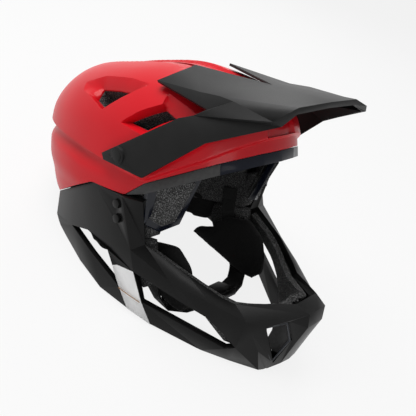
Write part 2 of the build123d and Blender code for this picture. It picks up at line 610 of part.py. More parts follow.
def rest_and_export(pieces):
    """Leans the helmet back onto chin and nape, sets the origin below it and writes the files."""
    chin, nape = place(BAR_SHARES["ridge_3"]), place(BAR_SHARES["nape_low"])
    tilt = math.degrees(math.atan2(nape.Z - chin.Z, nape.Y - chin.Y))
    rested = {name: piece.rotate(Axis.X, -tilt) for name, piece in pieces.items()}
    box = Compound(children=list(rested.values())).bounding_box()
    drop = Vector(0, -(box.min.Y + box.max.Y) / 2, -box.min.Z - FOOT_TRIM)
    reach = SHELL_LENGTH + CUT_OVERRUN
    floor = Solid.make_box(2 * reach, 2 * reach, reach).moved(Location((-reach, -reach, -reach)))
    for name, piece in rested.items():
        piece = piece.moved(Location(drop))
        if piece.bounding_box().min.Z < 0:
            piece = piece - floor
        piece = Compound(piece.solids()) if name in MANY_SOLIDS else one_solid(piece)
        export_step(piece, "parts/" + name + ".step")


shell_pieces, head_cavity = make_shells()
all_pieces = make_pivot_holes(shell_pieces)
all_pieces.update(make_rims())
all_pieces.update(make_neck_liner(head_cavity))
all_pieces.update(make_chin_bar())
all_pieces.update(make_decals())
all_pieces.update(make_visor())
all_pieces.update(make_cheeks())
all_pieces.update(make_comfort_pads())
all_pieces.update(make_fit_system())
all_pieces.update(make_straps())
rest_and_export(all_pieces)
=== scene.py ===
"""Looks of the downhill full face helmet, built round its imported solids.

The solids rest on chin and nape, while the shapes below are given as the helmet is worn, and worn()
turns them back onto the table. Large forms are given in shares of three set lengths, x, y and z.
"""
import json
import math

import bmesh
import bpy
import numpy as np
from mathutils import Matrix, Vector


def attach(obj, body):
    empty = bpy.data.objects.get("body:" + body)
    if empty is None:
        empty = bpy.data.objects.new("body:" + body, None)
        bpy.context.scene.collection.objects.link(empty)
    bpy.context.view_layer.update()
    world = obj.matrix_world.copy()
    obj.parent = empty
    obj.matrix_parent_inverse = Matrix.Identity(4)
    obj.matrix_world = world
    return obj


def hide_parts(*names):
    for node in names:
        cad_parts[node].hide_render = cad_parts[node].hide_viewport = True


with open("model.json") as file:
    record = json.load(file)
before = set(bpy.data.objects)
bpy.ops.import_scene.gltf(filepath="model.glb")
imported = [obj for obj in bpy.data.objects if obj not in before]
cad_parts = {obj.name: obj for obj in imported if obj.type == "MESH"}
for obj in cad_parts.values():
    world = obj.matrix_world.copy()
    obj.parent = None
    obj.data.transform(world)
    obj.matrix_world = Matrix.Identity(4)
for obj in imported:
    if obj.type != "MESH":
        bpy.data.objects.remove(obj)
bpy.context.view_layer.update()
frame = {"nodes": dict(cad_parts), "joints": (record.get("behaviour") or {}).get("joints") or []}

# The worn helmet leans back on the table by this angle about the line through its ears, and the
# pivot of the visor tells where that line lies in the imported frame. The three lengths are the units
# of the shares, and the length isn't that of the helmet, which is longer.
LEAN = math.radians(26.595)
HALF_WIDTH, LENGTH, HEIGHT = 0.104, 0.300, 0.285
PIVOT_SHARES = (0.0, 0.027, 0.3035)


def worn_direction(x, y, z):
    """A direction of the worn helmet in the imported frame."""
    cosine, sine = math.cos(LEAN), math.sin(LEAN)
    return Vector((x, y * cosine + z * sine, z * cosine - y * sine))


def metres(shares):
    """A place given in shares as metres of the worn helmet."""
    return Vector((HALF_WIDTH * shares[0], LENGTH * shares[1], HEIGHT * shares[2]))


visor_joint = next(joint for joint in frame["joints"] if joint["name"] == "visor_tilt")
SHIFT = Vector(visor_joint["pos_m"]) - worn_direction(*metres(PIVOT_SHARES))
SHIFT.x = 0.0


def worn(point):
    """A point of the worn helmet, in metres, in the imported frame."""
    return worn_direction(*point) + SHIFT


# The camera stands in front of the wearer's right shoulder and looks down at the open face, with
# the turn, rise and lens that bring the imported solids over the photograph.
CAMERA_PLACE = (-0.4210, -0.3833, 0.1834)
CAMERA_TURN, CAMERA_RISE = math.radians(-48.0), math.radians(16.2)
CAMERA_LENS, CAMERA_SENSOR = 50.0, 36.0

camera_data = bpy.data.cameras.new("camera")
camera_data.lens = CAMERA_LENS
camera_data.sensor_width = CAMERA_SENSOR
camera = bpy.data.objects.new("camera", camera_data)
bpy.context.scene.collection.objects.link(camera)
right = worn_direction(math.cos(CAMERA_TURN), math.sin(CAMERA_TURN), 0.0)
back = worn_direction(
    math.sin(CAMERA_TURN) * math.cos(CAMERA_RISE), -math.cos(CAMERA_TURN) * math.cos(CAMERA_RISE),
    math.sin(CAMERA_RISE),
)
axes = Matrix((right, back.cross(right), back)).transposed()
camera.matrix_world = Matrix.Translation(worn(CAMERA_PLACE)) @ axes.to_4x4()
bpy.context.scene.camera = camera
bpy.context.scene.view_settings.view_transform = "Standard"


class Socket:
    """One output among some nodes, so that maths on it reads as maths and adds the nodes."""

    def __init__(self, owner, link):
        self.owner, self.link = owner, link

    def _maths(self, operation, first, second):
        return self.owner.node("ShaderNodeMath", {"operation": operation}, {0: first, 1: second})

    def __add__(self, other):
        return self._maths("ADD", self, other)

    def __radd__(self, other):
        return self._maths("ADD", other, self)

    def __mul__(self, other):
        return self._maths("MULTIPLY", self, other)


class Nodes:
    """The nodes of a material or of the world, added one by one through node()."""

    def __init__(self, data):
        self.data = data
        self.data.use_nodes = True
        self.nodes = self.data.node_tree.nodes

    def node(self, kind, settings, inputs, output=0):
        node = self.nodes.new(kind)
        for name, value in settings.items():
            if name == "stops":
                for step, (place, colour) in enumerate(value):
                    elements = node.color_ramp.elements
                    stop = elements[step] if step < 2 else elements.new(place)
                    stop.position, stop.color = place, (*colour, 1.0)
            else:
                setattr(node, name, value)
        for name, value in inputs.items():
            if isinstance(value, Socket):
                self.data.node_tree.links.new(node.inputs[name], value.link)
            else:
                node.inputs[name].default_value = value
        return Socket(self, node.outputs[output])


class Finish(Nodes):
    """A material of a piece, with the few kinds of nodes that the finishes are made of."""

    def __init__(self, name, **constants):
        super().__init__(bpy.data.materials.new(name))
        self.shader = self.nodes["Principled BSDF"]
        for socket, value in constants.items():
            self.shader.inputs[socket.replace("_", " ")].default_value = value

    def place(self):
        return self.node("ShaderNodeTexCoord", {}, {}, "Object")

    def noise(self, scale, detail=2.0, rough=0.5):
        return self.node("ShaderNodeTexNoise", {}, {
            "Vector": self.place(), "Scale": scale, "Detail": detail, "Roughness": rough,
        })

    def cells(self, scale):
        return self.node("ShaderNodeTexVoronoi", {}, {"Vector": self.place(), "Scale": scale})

    def ramp(self, factor, *stops):
        return self.node("ShaderNodeValToRGB", {"stops": stops}, {"Fac": factor})

    def bump(self, height, strength, distance):
        self.feed(Normal=self.node("ShaderNodeBump", {}, {
            "Height": height, "Strength": strength, "Distance": distance,
        }))

    def feed(self, **links):
        for socket, value in links.items():
            self.data.node_tree.links.new(self.shader.inputs[socket.replace("_", " ")], value.link)


def grey(level):
    return (level, level, level)


def dress(node_name, finish, edge, angle=24.0):
    """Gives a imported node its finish, welds its facets and rounds the edges over an angle."""
    piece = frame["nodes"][node_name]
    piece.data.materials.clear()
    piece.data.materials.append(finish.data)
    for facet in piece.data.polygons:
        facet.use_smooth = True
    weld = piece.modifiers.new("weld", "WELD")
    weld.merge_threshold = 1e-5
    if edge:
        bevel = piece.modifiers.new("edge", "BEVEL")
        bevel.width, bevel.segments, bevel.profile = edge, 2, 0.5
        bevel.limit_method, bevel.angle_limit = "ANGLE", math.radians(angle)
        bevel.harden_normals = True


# The outer shell is one thin polycarbonate skin, moulded in red over the foam. Two raised bands run
# along the crown, a crease runs round the sides and the back, and a bridge crosses each side vent.
RAISED = 0.0036
SKIN_WALL = 0.0016
BULGE_POWER = 2.2
SHELL_MIDDLE = 0.170
SHELL_LEVELS = (
    (0.000, 0.913, -0.235, 0.573), (0.105, 0.962, -0.285, 0.627), (0.211, 0.971, -0.300, 0.643),
    (0.333, 0.904, -0.307, 0.650), (0.421, 0.822, -0.277, 0.630), (0.493, 0.675, -0.170, 0.565),
    (0.540, 0.480, -0.030, 0.477), (0.563, 0.240, 0.060, 0.350), (0.570, 0.000, 0.170, 0.170),
)
SHELL_EDGE = (
    (-0.500, 0.350), (-0.298, 0.313), (-0.228, 0.290), (-0.043, 0.221), (0.030, 0.176),
    (0.167, 0.198), (0.292, 0.158), (0.431, 0.110), (0.560, 0.165), (0.900, 0.165),
)
CREASE = (
    (-0.500, 0.390), (-0.298, 0.360), (-0.200, 0.305), (-0.044, 0.236), (0.106, 0.277),
    (0.208, 0.302), (0.303, 0.326), (0.482, 0.357), (0.900, 0.400),
)
COLUMNS, ROWS_ABOVE, ROWS_BELOW = 170, 86, 26
ROW_CROWDING = 0.9
HALVINGS = 24

red = Finish(
    "red_shell", Roughness=0.45, Specular_IOR_Level=0.05, Coat_Weight=0.35, Coat_Roughness=0.18,
)
red.bump(red.noise(420.0), 0.04, 0.0004)
red.feed(Base_Color=red.ramp(
    red.noise(9.0), (0.3, (0.64, 0.006, 0.014)), (0.7, (0.71, 0.008, 0.017)),
))


def level_at(step):
    """Height, half width, front and rear of the shell at a fractional level, on a smooth curve."""
    last = len(SHELL_LEVELS) - 1
    step = min(max(step, 0.0), last - 1e-6)
    i, t = int(step), step - int(step)
    a, b, c, d = (np.array(SHELL_LEVELS[min(max(k, 0), last)]) for k in range(i - 1, i + 3))
    squared, cubed = 2 * a - 5 * b + 4 * c - d, 3 * b - a - 3 * c + d
    return (2 * b + (c - a) * t + squared * t ** 2 + cubed * t ** 3) / 2


def skin_point(turn, step):
    """Point of the worn helmet's skin at a turn about the crown and a fractional level."""
    height, width, front, rear = level_at(step)
    power = 2 / BULGE_POWER
    across, along = math.sin(turn), -math.cos(turn)
    reach = rear - SHELL_MIDDLE if along > 0 else SHELL_MIDDLE - front
    return Vector((
        -HALF_WIDTH * max(width, 0.0) * abs(across) ** power,
        LENGTH * (SHELL_MIDDLE + reach * math.copysign(abs(along) ** power, along)),
        HEIGHT * height,
    ))


def line_value(line, share):
    """Value, at a share of the length, of a line given as pairs of shares."""
    return float(np.interp(share, [p[0] for p in line], [p[1] for p in line]))


def line_height(line, y):
    """Height of a side view line, in shares, at a length in metres."""
    return HEIGHT * line_value(line, y / LENGTH)


def step_on(line, turn):
    """Level at which the skin crosses a side view line, found by halving."""
    low, high = 0.0, len(SHELL_LEVELS) - 1.0
    for _ in range(HALVINGS):
        middle = (low + high) / 2
        point = skin_point(turn, middle)
        if point.z < line_height(line, point.y):
            low = middle
        else:
            high = middle
    return low


def smooth(value, start, end):
    """Goes from 0 at the start to 1 at the end with no corner at either."""
    t = min(max((value - start) / (end - start), 0.0), 1.0)
    return t * t * (3 - 2 * t)


# Each side vent is a hollow with a flat bridge across it and a hole on either side of the bridge.
# Its outlines lie on a plane that leans over the temple, so they are flattened onto that plane.
VENT_LEAN = math.radians(42.0)
HOLLOW = (
    (0.690, 0.318, 0.512), (0.629, 0.232, 0.531), (0.634, 0.109, 0.530), (0.645, 0.010, 0.513),
    (0.640, -0.048, 0.495), (0.640, -0.165, 0.438), (0.700, -0.170, 0.400), (0.860, -0.037, 0.370),
    (0.875, 0.132, 0.424), (0.780, 0.240, 0.465), (0.744, 0.299, 0.483),
)
BRIDGE = (
    (0.610, 0.020, 0.510), (0.600, -0.051, 0.490), (0.687, -0.053, 0.452), (0.753, 0.005, 0.425),
    (0.850, 0.075, 0.385), (0.860, 0.150, 0.405), (0.818, 0.157, 0.423), (0.700, 0.075, 0.470),
)
REAR_HOLE = (
    (0.637, 0.240, 0.485), (0.639, 0.157, 0.486), (0.650, 0.068, 0.478), (0.785, 0.166, 0.421),
    (0.721, 0.240, 0.450),
)
FRONT_HOLE = (
    (0.650, -0.057, 0.438), (0.658, -0.100, 0.414), (0.784, -0.020, 0.371), (0.800, 0.047, 0.392),
)
HOLLOW_DEPTH = 0.0085
HOLLOW_FLOOR = 0.33
BRIDGE_SLOPE = 1.6
SCORE_REACH, SCORE_SNAP = 0.003, 1e-4
SLOT_SNAP = 2e-5
CHANNEL = ((-0.40, 0.16), (0.00, 0.20), (0.25, 0.25), (0.44, 0.20), (0.50, 0.10), (0.52, -0.05))
CROWN_SLOTS = ((0.04, 0.13), (0.19, 0.31))
CROWN_SLOT_HALF = HALF_WIDTH * 0.045


def flattened(point):
    """Place of a point on the leaned plane of the side vents."""
    return np.array((point.y, abs(point.x) * -math.sin(VENT_LEAN) + point.z * math.cos(VENT_LEAN)))


def outline(shares):
    return np.array([flattened(metres(corner)) for corner in shares])


def nearest(polygon, place):
    """Distance from a place to a polygon's edge, and whether the place is inside."""
    start, end = polygon, np.roll(polygon, -1, axis=0)
    span = end - start
    share = np.clip(((place - start) * span).sum(1) / (span ** 2).sum(1), 0, 1)
    distance = np.hypot(*(start + span * share[:, None] - place).T).min()
    crosses = (start[:, 1] > place[1]) != (end[:, 1] > place[1])
    slope = np.where(crosses, (place[1] - start[:, 1]) / np.where(crosses, span[:, 1], 1.0), 0.0)
    inside = bool(np.count_nonzero(crosses & (place[0] < start[:, 0] + slope * span[:, 0])) % 2)
    return distance, inside


HOLLOW_LINE, BRIDGE_LINE = outline(HOLLOW), outline(BRIDGE)
HOLE_LINES = [outline(REAR_HOLE), outline(FRONT_HOLE)]


def in_hollow(point):
    """Whether a point lies within a side vent's hollow."""
    return point.z >= HEIGHT * HOLLOW_FLOOR and nearest(HOLLOW_LINE, flattened(point))[1]


def score(work, line):
    """Cuts the skin along each side of a vent outline, so that its edges come out straight."""
    lean = Vector((-math.cos(VENT_LEAN), 0.0, math.sin(VENT_LEAN)))
    for start, end in zip(line, np.roll(line, -1, axis=0)):
        run, rise = end - start
        span = Vector((rise * math.sin(VENT_LEAN), run, rise * math.cos(VENT_LEAN)))
        foot = Vector((start[1] * math.sin(VENT_LEAN), start[0], start[1] * math.cos(VENT_LEAN)))
        cut = span.cross(lean).normalized()
        low = np.minimum(start, end) - SCORE_REACH
        high = np.maximum(start, end) + SCORE_REACH
        near = []
        for face in work.faces:
            centre = face.calc_center_median()
            place = flattened(centre)
            if centre.z > HEIGHT * HOLLOW_FLOOR and (place > low).all() and (place < high).all():
                near += [face, *face.edges, *face.verts]
        bmesh.ops.bisect_plane(
            work, geom=list(set(near)), dist=SCORE_SNAP, plane_co=foot, plane_no=cut,
        )


def hollow_depth(point):
    """How far the skin dips at a point of the side vent's hollow."""
    if not in_hollow(point):
        return 0.0
    place = flattened(point)
    to_edge = nearest(HOLLOW_LINE, place)[0]
    to_bridge, on_bridge = nearest(BRIDGE_LINE, place)
    if on_bridge:
        return 0.0
    holes = [nearest(line, place) for line in HOLE_LINES]
    to_hole = min(0.0 if within else distance for distance, within in holes)
    solid = min(to_edge, to_bridge * BRIDGE_SLOPE)
    return HOLLOW_DEPTH * solid / (solid + to_hole + 1e-6)


# Above the crease the bands rise from the channel between them. Below it the skin steps in at the
# front, and at the rear a groove runs under the crease with a lobe below. Widths are in metres.
ON_CREASE = -1e-5
BAND_FOOT, BAND_TOP = 0.0012, 0.0022
STEP_WIDTH, STEP_FADE = 0.0030, (-0.1, 0.1)
REAR_FADE = (0.02, 0.30)
GROOVE, GROOVE_IN, GROOVE_OUT = 0.0032, (0.0, 0.002), (0.004, 0.016)
LOBE, LOBE_IN, LOBE_OUT = 0.0028, (0.006, 0.020), (0.030, 0.050)


def relief(point):
    """Height of the moulded surface above the foam's plain form at a point of the skin."""
    above = point.z - line_height(CREASE, point.y)
    share = point.y / LENGTH
    if above > ON_CREASE:
        half_channel = HALF_WIDTH * line_value(CHANNEL, share)
        band = smooth(abs(point.x), half_channel - BAND_FOOT, half_channel + BAND_TOP)
        return RAISED * band - hollow_depth(point)
    rear = smooth(share, *REAR_FADE)
    step = RAISED * (1 - smooth(-above, 0.0, STEP_WIDTH)) * (1 - smooth(share, *STEP_FADE))
    groove = GROOVE * rear * smooth(-above, *GROOVE_IN) * (1 - smooth(-above, *GROOVE_OUT))
    lobe = LOBE * rear * smooth(-above, *LOBE_IN) * (1 - smooth(-above, *LOBE_OUT))
    return step - groove + lobe


def half_skin(scored=True):
    """The wearer's right half of the skin, from crown to edge, where scored cut along the vents."""
    work = bmesh.new()
    rows = ROWS_ABOVE + ROWS_BELOW
    bmesh.ops.create_grid(work, x_segments=COLUMNS, y_segments=rows, size=0.5)
    turns = [math.pi * i / COLUMNS for i in range(COLUMNS + 1)]
    crease_steps = [step_on(CREASE, turn) for turn in turns]
    edge_steps = [step_on(SHELL_EDGE, turn) for turn in turns]
    top = len(SHELL_LEVELS) - 1.0
    for vert in work.verts:
        column = round((vert.co.x + 0.5) * COLUMNS)
        row = round((vert.co.y + 0.5) * rows)
        crease, edge = crease_steps[column], edge_steps[column]
        if row <= ROWS_ABOVE:
            step = top + (crease - top) * (row / ROWS_ABOVE) ** ROW_CROWDING
        else:
            step = crease + (edge - crease) * (row - ROWS_ABOVE) / ROWS_BELOW
        vert.co = skin_point(turns[column], step)
    bmesh.ops.remove_doubles(work, verts=work.verts, dist=2e-5)
    if not scored:
        return facing_out(work)
    for line in (HOLLOW_LINE, BRIDGE_LINE, *HOLE_LINES):
        score(work, line)
    for front, rear in CROWN_SLOTS:
        cuts = [((0.0, LENGTH * y, 0.0), (0.0, 1.0, 0.0)) for y in (front, rear)]
        for foot, normal in (*cuts, ((-CROWN_SLOT_HALF, 0.0, 0.0), (1.0, 0.0, 0.0))):
            near = [face for face in work.faces if is_crown(face.calc_center_median())]
            geometry = {item for face in near for item in (face, *face.edges, *face.verts)}
            bmesh.ops.bisect_plane(
                work, geom=list(geometry), dist=SLOT_SNAP, plane_co=foot, plane_no=normal,
            )
    return facing_out(work)


def facing_out(work):
    """Turns each face of the plain skin away from a point inside the head."""
    middle = Vector((0.0, LENGTH * SHELL_MIDDLE, HEIGHT * 0.2))
    work.normal_update()
    inward = [
        face for face in work.faces if face.normal.dot(face.calc_center_median() - middle) < 0
    ]
    bmesh.ops.reverse_faces(work, faces=inward)
    work.normal_update()
    return work


def is_crown(point):
    """Whether a point lies near the middle line of the crown, where the slots are."""
    return abs(point.x) < 3 * CROWN_SLOT_HALF and point.z > HEIGHT * 0.45 and point.y > 0


def in_slot(point):
    between = any(LENGTH * front < point.y < LENGTH * rear for front, rear in CROWN_SLOTS)
    return between and abs(point.x) < CROWN_SLOT_HALF and is_crown(point)


def is_open(point):
    """Whether the skin is open at a point, in a slot of the crown or a hole of a side vent."""
    if in_slot(point):
        return True
    return in_hollow(point) and any(nearest(line, flattened(point))[1] for line in HOLE_LINES)


def only(kind, items):
    """The items of one kind, vertices or faces, among those that an operator made."""
    return [item for item in items if isinstance(item, kind)]


def moulded(work, drop, depth):
    """A wall of both halves, with the vents and the relief on its outside, lowered by the drop. Its
    inside lies at the depth or, with no depth, under the relief by the skin's own wall."""
    holed = [face for face in work.faces if is_open(face.calc_center_median())]
    bmesh.ops.delete(work, geom=holed, context="FACES")
    out = work.verts.layers.float_vector.new("out")
    for vert in work.verts:
        vert[out] = vert.normal
    inside = work.faces[:]
    inner = work.verts[:]
    made = bmesh.ops.extrude_face_region(work, geom=inside, use_keep_orig=True)["geom"]
    for vert in only(bmesh.types.BMVert, made):
        vert.co += vert[out] * (relief(vert.co) - drop)
    for vert in inner:
        vert.co += vert[out] * (relief(vert.co) - SKIN_WALL if depth is None else -depth)
    # The extrusion has turned these faces inward already, so this turns the inside of the wall
    # outward again. It leaves the shape as it is, and it is a fault of the mesh.
    bmesh.ops.reverse_faces(work, faces=inside)
    seam = [face for face in work.faces if all(abs(vert.co.x) < 1e-5 for vert in face.verts)]
    bmesh.ops.delete(work, geom=seam, context="FACES")
    for vert in work.verts:
        if abs(vert.co.x) < 1e-5:
            vert.co.x = 0.0
    other = bmesh.ops.duplicate(work, geom=work.verts[:] + work.edges[:] + work.faces[:])["geom"]
    for vert in only(bmesh.types.BMVert, other):
        vert.co.x = -vert.co.x
    bmesh.ops.reverse_faces(work, faces=only(bmesh.types.BMFace, other))
    middle = [vert for vert in work.verts if abs(vert.co.x) < 1e-5]
    bmesh.ops.remove_doubles(work, verts=middle, dist=2e-5)
    return work


def finished(name, work, finish, angle=30.0):
    """Turns a worn bmesh back onto the table and makes it a piece that rides on the helmet."""
    for vert in work.verts:
        vert.co = worn(vert.co)
    mesh = bpy.data.meshes.new(name)
    work.to_mesh(mesh)
    work.free()
    for facet in mesh.polygons:
        facet.use_smooth = True
    mesh.set_sharp_from_angle(angle=math.radians(angle))
    mesh.materials.append(finish.data)
    piece = bpy.data.objects.new(name, mesh)
    bpy.context.scene.collection.objects.link(piece)
    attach(piece, "helmet")
    return piece


skin = half_skin()
liner_skin = skin.copy()
pad_skin = half_skin(scored=False)
shell = finished("moulded_shell", moulded(skin, 0.0, None), red)
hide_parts("raised_shell", "base_shell")

# The liner is expanded foam in fused beads, black with grey specks where the beads meet. It is
# moulded into the skin, so it has the same relief and the same vents.
LINER_DEPTH, LINER_GAP = 0.0239, 0.0004
foam = Finish("bead_foam", Roughness=0.85, Specular_IOR_Level=0.15)
beads = foam.cells(620.0)
specks = foam.noise(900.0, 3.0, rough=0.7)
foam.feed(Base_Color=foam.ramp(
    specks, (0.38, grey(0.020)), (0.52, grey(0.060)), (0.64, grey(0.27)),
))
foam.bump(beads, 0.5, 0.0006)
for node_name in ("neck_liner", "cheek_block_left", "cheek_block_right"):
    dress(node_name, foam, edge=0.0)
liner = finished("head_foam", moulded(liner_skin, SKIN_WALL + LINER_GAP, LINER_DEPTH), foam)
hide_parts("head_liner")

# The rim of the face opening is a gloss black moulding that covers the front edge of the foam.
# A soft rubber strip runs back from it along each side, under the edge of the shell.
rim = Finish(
    "rim_gloss", Base_Color=(0.006, 0.008, 0.016, 1.0), Roughness=0.28, Specular_IOR_Level=0.1,
    Coat_Weight=0.05, Coat_Roughness=0.10,
)
rim.bump(rim.noise(60.0, 1.0), 0.02, 0.0006)
dress("brow_trim", rim, edge=0.0010)
strip = Finish("strip_rubber", Roughness=0.62, Specular_IOR_Level=0.35)
strip.feed(Base_Color=strip.ramp(strip.noise(300.0, 3.0), (0.35, grey(0.040)), (0.70, grey(0.055))))
strip.bump(strip.noise(1500.0, 2.0), 0.15, 0.0002)
for node_name in ("rim_strip_left", "rim_strip_right"):
    dress(node_name, strip, edge=0.0012)

# The chin bar and its side panels are one plastic moulding in matte black with soft folded edges.
# Two screws on each side hold it to the shell. The fit cradle is moulded in the same black.
satin = Finish("bar_satin", Roughness=0.34, Specular_IOR_Level=0.14)
satin.feed(Base_Color=satin.ramp(satin.noise(40.0, 3.0), (0.3, grey(0.0045)), (0.7, grey(0.0065))))
satin.bump(satin.noise(2400.0, 2.0), 0.10, 0.0001)
dress("chin_bar", satin, edge=0.0014, angle=8.0)
for node_name in ("dial_housing", "fit_cradle", "visor_anchor_left", "visor_anchor_right"):
    dress(node_name, satin, edge=0.0012)
for node_name in ("panel_screws", "buckle"):
    dress(node_name, satin, edge=0.0006)

# The visor is a separate matte moulding with a finer grain. It tilts about a screw at each temple,
# whose head lies nearly flush in the visor's arm.
matte = Finish("visor_matte", Roughness=0.45, Specular_IOR_Level=0.10)
matte.feed(Base_Color=matte.ramp(matte.noise(30.0, 3.0), (0.3, grey(0.013)), (0.7, grey(0.017))))
matte.bump(matte.noise(2600.0, 2.0), 0.12, 0.0001)
dress("visor", matte, edge=0.0010, angle=16.0)
SIDES = (("left", 1), ("right", -1))
CAP_RADIUS, CAP_INNER, CAP_OUTER, CAP_EDGE = 0.0055, 0.0890, 0.1061, 0.0004
CAP_RIM_ANGLE = 1.0
PIVOT = metres(PIVOT_SHARES)


def push_back(work, push):
    """Makes a closed block of a bmesh with one flat face, whose other end lies the push away."""
    made = bmesh.ops.extrude_face_region(work, geom=work.faces[:], use_keep_orig=True)["geom"]
    bmesh.ops.translate(work, verts=only(bmesh.types.BMVert, made), vec=push)
    bmesh.ops.recalc_face_normals(work, faces=work.faces)


for name, side in SIDES:
    work = bmesh.new()
    turned = Matrix.Rotation(math.radians(90), 4, "Y")
    placed = Matrix.Translation((side * CAP_INNER, PIVOT.y, PIVOT.z)) @ turned
    bmesh.ops.create_circle(work, cap_ends=True, segments=48, radius=CAP_RADIUS, matrix=placed)
    push_back(work, Vector((side * (CAP_OUTER - CAP_INNER), 0.0, 0.0)))
    rims = [edge for edge in work.edges if edge.calc_face_angle(0.0) > CAP_RIM_ANGLE]
    bmesh.ops.bevel(
        work, geom=rims, offset=CAP_EDGE, affect="EDGES", segments=2, profile=0.5, material=-1,
    )
    cap = finished("pivot_cap_" + name, work, matte)
    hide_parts("visor_screw_" + name)

# The white panels are printed film, one on each side, stuck on the strut between the side panel and
# the chin bar, and folded over its edge.
decal = Finish("decal_white", Roughness=0.30, Coat_Weight=0.3)
decal.feed(Base_Color=decal.ramp(decal.noise(50.0), (0.3, grey(0.86)), (0.7, grey(0.90))))
for node_name in ("decal_left", "decal_right"):
    dress(node_name, decal, edge=0.0)

# A block of bead foam lines the inside at each temple, set in a dark gloss carrier. A gloss guard
# is clipped in front of it, under the rim. Corners are in millimetres of the worn helmet.
TEMPLE_FOAM = (
    (83, -18, 56), (65, -44, 65), (62, -48, 62.8), (62, -20, 22), (74, -15, 18.5), (86, -10, 28),
)
TEMPLE_CARRIER = (
    (82, -14, 58), (64, -42, 68), (57, -49, 66), (56.5, -20, 18), (74, -11, 12.5), (88, -6, 22),
)
TEMPLE_GUARD = ((92, -15, 59), (80, -19, 57), (86, -13, 31), (92, -11, 25))
guard_gloss = Finish(
    "guard_gloss", Base_Color=(0.005, 0.007, 0.014, 1.0), Roughness=0.20, Specular_IOR_Level=0.25,
    Coat_Weight=0.15, Coat_Roughness=0.08,
)
guard_gloss.bump(guard_gloss.noise(70.0, 1.0), 0.02, 0.0006)


def slab(name, corners, push, side, finish, edge=0.0012):
    """A block with rounded edges, from the corners of its face and the way it goes back, in mm."""
    work = bmesh.new()
    work.faces.new([work.verts.new(Vector((side * x, y, z)) / 1000) for x, y, z in corners])
    push_back(work, Vector((side * push[0], push[1], push[2])) / 1000)
    bmesh.ops.bevel(
        work, geom=work.edges[:], offset=edge, affect="EDGES", segments=3, profile=0.5, material=-1,
        clamp_overlap=True,
    )
    return finished(name, work, finish, angle=50.0)


for name, side in SIDES:
    block = slab("temple_foam_" + name, TEMPLE_FOAM, (-1, 14, 0), side, foam, 0.0015)
    carrier = slab("temple_carrier_" + name, TEMPLE_CARRIER, (-1, 8, 0), side, guard_gloss)
    guard = slab("temple_guard_" + name, TEMPLE_GUARD, (0, 4, 0), side, guard_gloss)

# The chin bar is lined with the same bead foam from temple to temple. It is one curved strip,
# fitted in behind the bar's wall.
LINING_WALL = 0.006
LINING_ROWS = (
    (
        (79, -6, -3), (67, -43, -24), (53, -67, -42), (45, -79, -49), (36, -92, -50),
        (14, -117, -49), (0, -118, -49),
    ), (
        (85, -2, -14), (73, -38, -38), (60, -58, -56), (50, -70, -70), (40, -86, -72),
        (18, -108, -58), (0, -112, -58),
    ), (
        (87, 0, -19), (76, -36, -44), (63, -55, -60), (49, -68, -88), (36, -80, -96),
        (22, -100, -64), (0, -106, -62),
    ),
)
lining = bmesh.new()
grid = [[lining.verts.new(Vector(corner) / 1000) for corner in row] for row in LINING_ROWS]
for upper, lower in zip(grid, grid[1:]):
    for i in range(len(upper) - 1):
        lining.faces.new((upper[i], upper[i + 1], lower[i + 1], lower[i]))


def mirrored(work, weld):
    """Adds the other half of a form and welds the two where they meet."""
    half = work.verts[:] + work.edges[:] + work.faces[:]
    bmesh.ops.mirror(work, geom=half, axis="X", merge_dist=1e-5)
    bmesh.ops.remove_doubles(work, verts=work.verts, dist=weld)


def curved_sheet(work, ease, wall):
    """Makes one soft sheet of a wall's thickness of the faces of half a form."""
    mirrored(work, 1e-5)
    bmesh.ops.subdivide_edges(work, edges=work.edges[:], cuts=2, smooth=ease, use_grid_fill=True)
    bmesh.ops.recalc_face_normals(work, faces=work.faces)
    bmesh.ops.solidify(work, geom=work.faces[:], thickness=wall)


curved_sheet(lining, 0.6, LINING_WALL)
chin_lining = finished("chin_lining", lining, foam, angle=50.0)

# Behind the nose plate a rubbery block parts the two mouth vents. A gloss bead, moulded on the edge
# of the opening, frames each of them.
NOSE_SIDE = ((-122, -55), (-121, -80), (-107, -103), (-88, -100), (-98, -80), (-101, -55))
MOUTH_FRAME = ((39, -109, -64), (25, -122, -60), (16, -120, -82), (21, -104, -108), (30, -103, -90))
NOSE_HALF, NOSE_EDGE, MOUTH_BEAD = 0.0145, 0.0015, 0.0013
nose = bmesh.new()
nose.faces.new([nose.verts.new((NOSE_HALF, y / 1000, z / 1000)) for y, z in NOSE_SIDE])
push_back(nose, Vector((-2 * NOSE_HALF, 0.0, 0.0)))
bmesh.ops.bevel(
    nose, geom=nose.edges[:], offset=NOSE_EDGE, affect="EDGES", segments=3, profile=0.5,
    material=-1,
)
finished("nose_block", nose, strip, angle=50.0)


def bead(name, corners, radius, finish, closed=True):
    """A thin moulded bead along worn corners in mm."""
    curve = bpy.data.curves.new(name, "CURVE")
    curve.dimensions, curve.bevel_depth, curve.bevel_resolution = "3D", radius, 3
    line = curve.splines.new("POLY")
    line.points.add(len(corners) - 1)
    for point, corner in zip(line.points, corners):
        point.co = (*worn(Vector(corner) / 1000), 1.0)
    line.use_cyclic_u = closed
    curve.materials.append(finish.data)
    piece = bpy.data.objects.new(name, curve)
    bpy.context.scene.collection.objects.link(piece)
    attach(piece, "helmet")


for name, side in SIDES:
    corners = [(side * x, y, z) for x, y, z in MOUTH_FRAME]
    bead("mouth_frame_" + name, corners, MOUTH_BEAD, guard_gloss)

